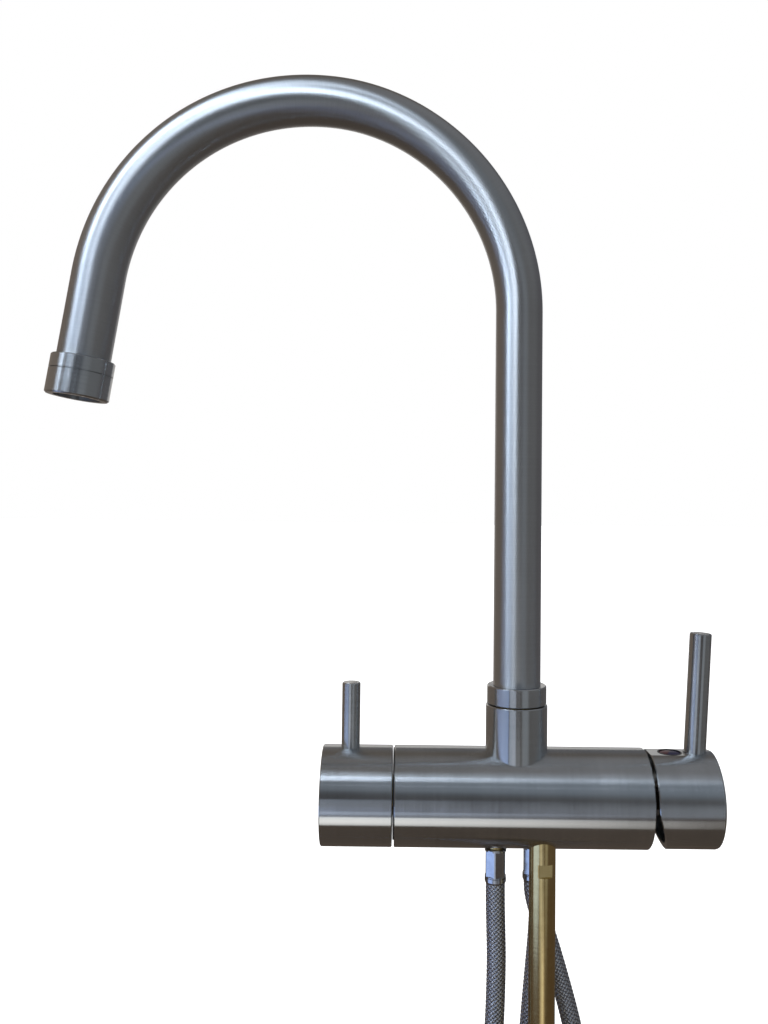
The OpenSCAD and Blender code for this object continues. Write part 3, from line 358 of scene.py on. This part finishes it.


# Bright drawn stainless wire, 0.2 mm thick and five wires to a strand: each
# strand glints along its middle where it rises. The hollows between the strands
# are dark grey, partly the black rubber showing through and partly painted shade.
# The wires are drawn 0.4 mm apart, because finer ones would not show.
braid, tree, shader = material("stainless_wire_braid", Metallic=1.0, Roughness=0.3)
place = add(tree, "ShaderNodeUVMap", uv_map="surface").outputs[0]
turn, leads, _ = add(tree, "ShaderNodeSeparateXYZ", {0: place}).outputs
strand_a = maths(tree, "MULTIPLY", maths(tree, "ADD", turn, leads), strands)
strand_b = maths(tree, "MULTIPLY", maths(tree, "SUBTRACT", turn, leads), strands)
whole_a = maths(tree, "ROUND", strand_a)
whole_b = maths(tree, "ROUND", strand_b)
off_a = maths(tree, "SUBTRACT", strand_a, whole_a)
off_b = maths(tree, "SUBTRACT", strand_b, whole_b)
b_over = maths(tree, "PINGPONG", maths(tree, "ADD", whole_a, whole_b), 1)
across = add(tree, "ShaderNodeMix", {0: b_over, 2: off_a, 3: off_b}).outputs[0]
over = add(tree, "ShaderNodeMix", {0: b_over, 2: off_b, 3: off_a}).outputs[0]
wires = maths(tree, "COSINE", maths(tree, "MULTIPLY", across, 2 * wires_to_a_strand * math.pi))
rise = maths(tree, "COSINE", maths(tree, "MULTIPLY", over, math.pi))
relief = maths(tree, "MULTIPLY_ADD", wires, 0.12, rise)
# Dark colour in the hollows between strands: partly the rubber beneath, partly painted shade.
hollow_shade = add(tree, "ShaderNodeMapRange", {0: relief, 1: 0.15, 2: 0.8, 3: 1.0, 4: 0.0})
wire_colour = add(tree, "ShaderNodeMix", {
    0: hollow_shade.outputs[0], 6: colour("d6dbe4"), 7: colour("3c3f46")}, data_type="RGBA")
wire_gloss = add(tree, "ShaderNodeMapRange", {0: relief, 1: 0.1, 2: 1.0, 3: 0.55, 4: 0.24})
wire_bump = add(tree, "ShaderNodeBump", {"Strength": 0.6, "Distance": 0.0002, "Height": relief})
tree.links.new(wire_colour.outputs[2], shader.inputs["Base Color"])
tree.links.new(wire_gloss.outputs[0], shader.inputs["Roughness"])
tree.links.new(wire_bump.outputs[0], shader.inputs["Normal"])

# Nickel-plated brass: the union nuts, warm white and shiny, with spanner wear.
nickel_plated = turned("nickel_plated_brass", "b7b1a4", "d2cdc2", (0.1, 0.24), (60, 60, 2600))

# The stops of each hose's soft bends, from its tail down, in millimetres.
hose_stops = {
    "filtered": [
        [-9.4, -1, -16.8], [-9.3, -1, -27], [-9, -1, -38], [-8.7, -1, -50], [-8.8, -1, -62],
        [-9.1, -1, -74], [-9.7, -1.2, -88], [-10.4, -1.6, -104], [-11.2, -2, -124],
        [-12, -2.4, -146], [-12.7, -2.8, -170], [-13.3, -3.1, -195], [-13.7, -3.4, -220],
        [-14, -3.6, -246], [-14, -3.8, -272], [-14, -4, -298], [-14, -4, -324],
        [-14, -4, -346], [-14, -4, -368]],
    "cold": [
        [8.5, 2.6, -16.8], [8.9, 2.6, -22.5], [10.1, 2.6, -28], [12, 2.6, -34], [14.3, 2.6, -40],
        [17.6, 2.6, -50], [21.2, 2.6, -62], [24.6, 2.6, -74], [27.6, 2.6, -86], [30.2, 2.6, -99],
        [32.2, 2.6, -113], [33.8, 2.7, -130], [35, 2.8, -150], [35.6, 2.9, -172], [36, 3, -196],
        [36, 3, -221], [36, 3, -246], [36, 3, -271], [36, 3, -296], [36, 3, -321], [36, 3, -344],
        [36, 3, -366]],
    "hot": [
        [12.6, 12.9, -16.8], [12.6, 12.9, -28], [12.4, 13, -38], [11.8, 13.1, -49], [10.9, 13.3, -60],
        [9.9, 13.5, -72], [8.8, 13.8, -86], [7.8, 14.1, -102], [7, 14.4, -120], [6.5, 14.7, -140],
        [6.2, 14.9, -162], [6, 15, -186], [6, 15, -212], [6, 15, -238], [6, 15, -264],
        [6, 15, -290], [6, 15, -316], [6, 15, -342], [6, 15, -368]],
}
for water, stops in hose_stops.items():
    stops = np.array(stops) / 1000
    hose = braided_hose(f"{water}_braided_hose", stops)
    hose.data.materials.append(braid)
    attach(hose, "fixed_body")
    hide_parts(f"{water}_hose")
    on_hose = [nodes[f"{water}_{part}"] for part in ("ferrule", "end", "nut")]
    on_hose.append(nodes["inlet_washers"])
    dress(zinc_plated, f"{water}_ferrule", f"{water}_end")
    dress(drawn_brass, f"{water}_tail")
    dress(nickel_plated, f"{water}_nut")


# ---- Body, neck and the swivel inside it ------------------------------------
# The body is a stainless tube and the neck a stainless socket welded on top.
# Both are turned and then brushed round their own axis with a fine belt. The
# spout turns on a brass nipple with plastic bushes and rubber rings in the neck.

def satin_steel(name, axis=None, rough=0.16, dark="a4a8ab", light="c8cccf"):
    """Brushed 304 stainless, whose brush lines run round the axis.

    The lines are noise that is fine along the axis and long across it, and a glint
    spreads far along the axis and little across it. A wider noise smudges the
    tone and the roughness. Without an axis, the piece's own UV map, which holds the
    turn and the distance along, takes its place. Its tangent runs round the
    piece, so the spread is turned by a quarter.
    """
    made, tree, shader = material(
        name, Metallic=1.0, Anisotropic=1.0, Anisotropic_Rotation=0 if axis else 0.25)
    place = add(tree, "ShaderNodeTexCoord").outputs["Object"]
    lines_to_a_metre = 1600
    if axis is None:
        own = add(tree, "ShaderNodeUVMap", uv_map="surface").outputs[0]
        fine = add(tree, "ShaderNodeMapping", {
            "Vector": own, "Scale": (2, lines_to_a_metre, 1)}).outputs[0]
        grain_way = add(tree, "ShaderNodeTangent", direction_type="UV_MAP", uv_map="surface").outputs[0]
    else:
        along = add(tree, "ShaderNodeVectorMath", {
            0: place, 1: axis}, operation="DOT_PRODUCT").outputs["Value"]
        lengthways = add(tree, "ShaderNodeVectorMath", {
            0: axis, "Scale": along}, operation="SCALE").outputs[0]
        round_it = add(tree, "ShaderNodeVectorMath", {
            0: place, 1: (22, 22, 22)}, operation="MULTIPLY").outputs[0]
        fine = add(tree, "ShaderNodeVectorMath", {
            0: lengthways, 1: [lines_to_a_metre] * 3, 2: round_it}, operation="MULTIPLY_ADD").outputs[0]
        grain_way = add(tree, "ShaderNodeVectorTransform", {
            0: axis}, vector_type="VECTOR", convert_from="OBJECT", convert_to="WORLD").outputs[0]
    lines = add(tree, "ShaderNodeTexNoise", {"Vector": fine, "Scale": 1, "Detail": 2}).outputs[0]
    smudge = add(tree, "ShaderNodeTexNoise", {"Vector": place, "Scale": 45, "Detail": 3}).outputs[0]
    marks = maths(tree, "MULTIPLY_ADD", lines, 0.45, smudge)
    tone = add(tree, "ShaderNodeMix", {0: marks, 6: colour(dark), 7: colour(light)}, data_type="RGBA")
    gloss = maths(tree, "MULTIPLY_ADD", lines, 0.06, rough)
    worn = maths(tree, "MULTIPLY_ADD", smudge, 0.08, gloss)
    grain = add(tree, "ShaderNodeBump", {"Strength": 0.03, "Distance": 0.00001, "Height": lines})
    tree.links.new(tone.outputs[2], shader.inputs["Base Color"])
    tree.links.new(worn, shader.inputs["Roughness"])
    tree.links.new(grain.outputs[0], shader.inputs["Normal"])
    tree.links.new(grain_way, shader.inputs["Tangent"])
    return made


# Satin stainless: a cool grey whose bands of reflected light run along the piece.
brushed_along_x = satin_steel("satin_steel_brushed_round_body", (1, 0, 0))
dress(brushed_along_x, "body_shell")
brushed_along_z = satin_steel("satin_steel_brushed_round_column", (0, 0, 1))
dress(brushed_along_z, "neck", "spout_collar")

# Hardened steel grub screws, blacked in oil: dark grey and slightly greasy.
blacked_steel = turned("oil_blacked_steel", "2f3033", "46474b", (0.28, 0.45), (60, 60, 1800))
dress(blacked_steel, "neck_screw", "filter_screw", "mixer_screw")

# The nipple's brass is the core's, turned round an upright axis.
upright_brass = turned("brass_turned_upright", "b39455", "d3b878", (0.2, 0.36), (60, 60, 2400))
dress(upright_brass, "spout_nipple")
dress(filled_nylon, "spout_bushes")


# ---- Spout tube -------------------------------------------------------------
# A 22 mm stainless tube of 1 mm wall, bent on a mandrel into a swan neck: up,
# over in two arcs, and straight again at the outlet, where its rings slide on.

spout_turn = math.radians(16.5)
tube_foot = 0.0666
tube_rise = 0.1819
tube_bends = [(0.0895, math.radians(90)), (0.102, math.radians(81.5))]
tube_outlet = 0.04075
tube_radius = 0.011
tube_bore = 0.010
tube_row_step = 0.0015


def spout_line(step):
    """The tube's centre line: its distance out, its height, its heading and the distance along.

    A point moves on by equal steps, and its heading turns by the step over the
    bend's radius, so the heading is a running sum, and the place is the running sum
    of each step's chord times the sine and cosine of its heading.
    """
    lengths = [tube_rise] + [radius * bend for radius, bend in tube_bends] + [tube_outlet]
    turns = [0] + [bend for _, bend in tube_bends] + [0]
    counts = [round(length / step) for length in lengths]
    stretch = np.concatenate([np.full(n, length / n) for n, length in zip(counts, lengths)])
    bending = np.concatenate([np.full(n, turn / n) for n, turn in zip(counts, turns)])
    middle = np.cumsum(bending) - bending / 2
    chord = stretch * np.sinc(bending / 2 / np.pi)
    out = np.append(0, np.cumsum(-chord * np.sin(middle)))
    up = np.append(0, np.cumsum(chord * np.cos(middle))) + tube_foot
    faces = np.append(0, np.cumsum(bending))
    return out, up, faces, np.append(0, np.cumsum(stretch))


def swan_neck(name, sides=96):
    """The tube's outside from foot to outlet, then its bore back again, joined at both ends.

    Each row is a circle square to the centre line.
    """
    out, up, faces, along = spout_line(tube_row_step)
    angle = 2 * np.pi * np.arange(sides) / sides
    upward = np.array([0, 0, 1.0])
    across = np.array([math.cos(spout_turn), math.sin(spout_turn), 0])
    sideways = np.array([-math.sin(spout_turn), math.cos(spout_turn), 0])
    centre = out[:, None] * across + up[:, None] * upward
    inward = np.cos(faces)[:, None] * across + np.sin(faces)[:, None] * upward
    spoke = np.cos(angle)[None, :, None] * inward[:, None] + np.sin(angle)[None, :, None] * sideways
    outside = centre[:, None] + tube_radius * spoke
    inside = (centre[:, None] + tube_bore * spoke)[::-1]
    there_and_back = np.concatenate([along, along[::-1]])
    return skin(name, np.concatenate([outside, inside]), there_and_back, closed=True)


# The bent tube is brushed more coarsely than the body, which is turned first: its
# glints run the length of the arch, softer than the body's bands. Its colour is
# lighter than the body's as painted light, for the brighter light on the arch.
lighter_painted_tube_steel = satin_steel(
    "satin_steel_brushed_round_tube", rough=0.41, dark="c0c4c7", light="dde1e4")
spout = swan_neck("swan_neck_tube")
spout.data.materials.append(lighter_painted_tube_steel)
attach(spout, "swivel_spout")
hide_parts("spout_tube")


# ---- Outlet rings, aerator and the filtered tube ----------------------------
# Two stainless rings screw on at the outlet, with a dark seam between them: a
# collar and the aerator's housing. A thin plastic tube inside the spout keeps
# the filtered water apart down to the black mouthpiece.

bend_end = math.radians(171.5)
outlet_way = (-math.sin(bend_end) * math.cos(spout_turn),
              -math.sin(bend_end) * math.sin(spout_turn), math.cos(bend_end))
dress(satin_steel("satin_steel_brushed_round_outlet", outlet_way), "outlet_collar", "aerator_housing")
dress(black_acetal, "aerator_insert")

# Polyethylene tube, drawn: milky and waxy, and half clear.
drawn_polyethylene = moulded(
    "drawn_polyethylene", "cdd3d6", "dfe4e6", (0.3, 0.45), 0.0006, 0.00002, Transmission_Weight=0.5)
dress(drawn_polyethylene, "filtered_tube")


# ---- Filter sleeve, mixer cap and their levers ------------------------------
# The handles are turned from stainless bar and brushed like the body. Each has a
# pin lever pressed into it. A small button, half red and half blue, covers the
# grub screw that holds the mixer cap on its stem.

dress(brushed_along_x, "filter_sleeve", "mixer_cap")
dress(brushed_along_z, "filter_lever")
lean = math.radians(3)
lever_way = (math.sin(lean), 0, math.cos(lean))
dress(satin_steel("satin_steel_brushed_round_lever", lever_way), "mixer_lever")

# The button's coloured halves: dyed acrylic, deep and glossy, with hair scratches.
dress(black_acetal, "index_button")
dress(moulded("dyed_red_acrylic", "42101a", "541420", (0.3, 0.42), 0.0003, 0.000006), "index_hot")
dress(moulded("dyed_blue_acrylic", "191538", "211d4a", (0.3, 0.42), 0.0003, 0.000006), "index_cold")


# ---- Floor, dark surround and lights ----------------------------------------
# The tap hangs over a pale floor. Steel takes its look from what stands round it,
# so window panes and low cards draw the bright bands of the photograph in it, and
# a dark surround, which only its reflections show, fills what lies between them.

def soft_light(name, at, aim, width, height, strength, tint, spread=180):
    """A rectangular lamp of even brightness.

    Its power is the brightness times pi times its area, times one less h / tan h,
    because a spread of half angle h concentrates the light on the aim.
    """
    lamp = bpy.data.lights.new(name, "AREA")
    lamp.shape = "RECTANGLE"
    lamp.size = width
    lamp.size_y = height
    half_spread = math.radians(spread / 2)
    lamp.energy = strength * math.pi * width * height * (1 - half_spread / math.tan(half_spread))
    lamp.color = colour(tint)[:3]
    lamp.spread = math.radians(spread)
    box = bpy.data.objects.new(name, lamp)
    aim = np.array(aim, float) / np.linalg.norm(aim)
    side = np.cross(aim, [0, 0, 1.0])
    side /= np.linalg.norm(side)
    box.matrix_world = stand(side, np.cross(side, aim), aim, at)
    box.visible_camera = False
    bpy.context.scene.collection.objects.link(box)


def pane(name, left, right, foot, top, distance, strength, tint, rise=0, spread=180):
    """A lamp that faces the spout's axis, between two azimuths and two heights.

    The azimuths are in degrees, 0 in front of the tap and 90 on its right, and the
    heights in metres. Its aim rises by the rise, in degrees.
    """
    middle = math.radians((left + right) / 2)
    width = 2 * distance * math.tan(math.radians(right - left) / 2)
    at = (distance * math.sin(middle), -distance * math.cos(middle), (foot + top) / 2)
    aim = (-at[0], -at[1], distance * math.tan(math.radians(rise)))
    soft_light(name, at, aim, width, top - foot, strength, tint, spread)


# The far window draws the line along the arch and the upper band on the body.
pane("window_left_pane", -78, -44, 2.95, 4.3, 3.0, 9.0, "dcecff")
pane("window_right_pane", -38, -23, 2.95, 4.3, 3.0, 9.0, "e4f0ff")
# Panes with a narrow beam draw the two lines on the column and miss the body.
pane("gridded_left_pane", -80, -47, 0.42, 0.84, 0.57, 17.0, "dcecff", rise=-14, spread=46)
pane("gridded_right_pane", -39, -14, 0.42, 0.84, 0.57, 19.0, "e4f0ff", rise=-14, spread=46)
# Two more do the same for the outlet and the leg above it.
outlet_at = np.array((-0.2, 0, 0.42))
for side, at, width in (("left", (-0.68, -0.3, 0.6), 0.2), ("right", (-0.46, -0.48, 0.6), 0.16)):
    soft_light(f"outlet_{side}_pane", at, outlet_at - at, width, 0.3, 11.0, "dcecff", spread=40)
# A faint pane behind the tap keeps its back readable.
pane("back_pane", 160, 210, 0.1, 0.7, 1.5, 0.5, "f4efe8")
# Low panes light the ferrules, the hoses and the stud.
pane("low_left_pane", -62, -35, -0.15, 0.1, 0.8, 0.15, "d3e5ff")
pane("low_far_left_pane", -90, -36, -0.39, -0.15, 0.8, 1.6, "a9c8ff")
pane("low_right_pane", -33, -9, -0.39, 0.1, 0.8, 0.6, "dde9fb")
# Cards below the lens draw the body's low band, brighter at its left end.
for part, x, width, strength in (
        ("left", -0.2275, 0.335, 2.5), ("middle", -0.005, 0.11, 1.8), ("right", 0.0825, 0.065, 1.2)):
    soft_light(f"low_card_{part}", (x, -0.2425, -0.2), (0, 0.72, 0.69),
               width, 0.115, strength, "fffdf8", spread=50)
soft_light("low_card_far", (-0.17, -0.4025, -0.2), (0, 0.9, 0.44),
           0.46, 0.135, 0.5, "d9e8fb", spread=60)

surround, tree, shader = material("painted_reflection_surround")
place = add(tree, "ShaderNodeTexCoord").outputs["Object"]
way = add(tree, "ShaderNodeVectorMath", {0: place}, operation="NORMALIZE").outputs[0]
height = add(tree, "ShaderNodeSeparateXYZ", {0: way}).outputs[2]


def patch(under, azimuth, elevation, full, gone, tint):
    """Lays a soft round patch over the shade under it.

    It is full up to one angle from its middle, and gone beyond the other, in degrees.
    """
    a, e = math.radians(azimuth), math.radians(elevation)
    middle = (math.sin(a) * math.cos(e), -math.cos(a) * math.cos(e), math.sin(e))
    near = add(tree, "ShaderNodeVectorMath", {
        0: way, 1: middle}, operation="DOT_PRODUCT").outputs["Value"]
    part = add(tree, "ShaderNodeMapRange", {
        0: near, 1: math.cos(math.radians(gone)), 2: math.cos(math.radians(full)), 3: 0, 4: 1},
        interpolation_type="SMOOTHSTEP").outputs[0]
    return add(tree, "ShaderNodeMix", {0: part, 6: under, 7: tint}, data_type="RGBA").outputs[2]


# The surround glows though it is no lamp, and only reflections show it: its shade and its patches are
# painted reflections in the steel.
shade = (0.17, 0.165, 0.165, 1)
shade = patch(shade, -115, 5, 25, 80, (0.25, 0.205, 0.17, 1))
shade = patch(shade, 125, 0, 35, 85, (0.15, 0.15, 0.16, 1))
shade = patch(shade, 0, 90, 20, 60, (0.15, 0.125, 0.1, 1))
shade = patch(shade, 14, 36, 12, 30, (0.27, 0.31, 0.36, 1))
shade = patch(shade, 90, 65, 20, 40, (0.27, 0.27, 0.28, 1))
shade = patch(shade, 62, 0, 22, 40, (0.21, 0.22, 0.23, 1))
shade = patch(shade, -12, -3, 24, 34, (0.07, 0.07, 0.075, 1))
# Below the horizon the painted reflection is brown and dim, like a worktop out of
# the light, but for a pale painted reflection that the front of the mixer cap shows.
low = add(tree, "ShaderNodeMapRange", {0: height, 1: -0.4, 2: 0.05, 3: 1, 4: 0}).outputs[0]
shade = add(tree, "ShaderNodeMix", {
    0: low, 6: shade, 7: (0.1, 0.078, 0.062, 1)}, data_type="RGBA").outputs[2]
shade = patch(shade, 27, -12, 9, 17, (0.34, 0.36, 0.38, 1))
glow = add(tree, "ShaderNodeEmission", {"Color": shade, "Strength": 1})
tree.links.new(glow.outputs[0], tree.nodes["Material Output"].inputs["Surface"])

shell_radius = 8.0
shell_foot = -0.41
shell_sides = 48
polar = np.linspace(0, np.pi, 33)[1:-1]
round_about = 2 * np.pi * np.arange(shell_sides) / shell_sides
shell = np.stack([
    -shell_radius * np.sin(polar)[:, None] * np.cos(round_about),
    shell_radius * np.sin(polar)[:, None] * np.sin(round_about),
    np.maximum(shell_radius * np.cos(polar), shell_foot)[:, None] * np.ones(shell_sides)], -1)
walls = skin("studio_surround", shell, polar)
walls.data.materials.append(surround)
walls.visible_camera = False
walls.visible_diffuse = False
walls.visible_transmission = False
walls.visible_shadow = False


def shown(tree):
    """1 for a ray from the camera or from a glossy or clear surface, and 0 for any other."""
    rays = add(tree, "ShaderNodeLightPath").outputs
    seen = maths(tree, "MAXIMUM", rays["Is Camera Ray"], rays["Is Glossy Ray"])
    return maths(tree, "MAXIMUM", seen, rays["Is Transmission Ray"])


# The lift to white is a painted glow, seen by the camera and in reflections. It is
# less within half a metre of the tap, a painted darker disc that leaves its shadow showing.
floor_size = 20.0
floor_height = -0.42
floor_material, tree, shader = material("pale_studio_floor", Roughness=0.7)
shader.inputs["Base Color"].default_value = colour("f2f2f0")
place = add(tree, "ShaderNodeTexCoord").outputs["Object"]
flat_place = add(tree, "ShaderNodeVectorMath", {0: place, 1: (1, 1, 0)}, operation="MULTIPLY").outputs[0]
away = add(tree, "ShaderNodeVectorMath", {0: flat_place}, operation="LENGTH").outputs["Value"]
painted_lift = add(tree, "ShaderNodeMapRange", {0: away, 1: 0.2, 2: 0.6, 3: 0.35, 4: 1.0},
            interpolation_type="SMOOTHSTEP").outputs[0]
lift = add(tree, "ShaderNodeEmission", {
    "Color": (1, 1, 1, 1), "Strength": maths(tree, "MULTIPLY", painted_lift, shown(tree))})
lit = add(tree, "ShaderNodeAddShader", {0: shader.outputs[0], 1: lift.outputs[0]})
tree.links.new(lit.outputs[0], tree.nodes["Material Output"].inputs["Surface"])
floor_corners = [(-floor_size, -floor_size, floor_height), (floor_size, -floor_size, floor_height),
                 (floor_size, floor_size, floor_height), (-floor_size, floor_size, floor_height)]
floor_mesh = bpy.data.meshes.new("studio_floor")
floor_mesh.from_pydata(floor_corners, [], [(0, 1, 2, 3)])
floor_mesh.materials.append(floor_material)
ground = bpy.data.objects.new("studio_floor", floor_mesh)
bpy.context.scene.collection.objects.link(ground)

world = bpy.data.worlds.new("white_studio")
world.use_nodes = True
bpy.context.scene.world = world
tree = world.node_tree
strength = add(tree, "ShaderNodeMapRange", {0: shown(tree), 3: 0.4, 4: 1.0})
tree.nodes["Background"].inputs["Color"].default_value = (1, 1, 1, 1)
tree.links.new(strength.outputs[0], tree.nodes["Background"].inputs["Strength"])

bpy.context.scene.view_settings.view_transform = "Standard"
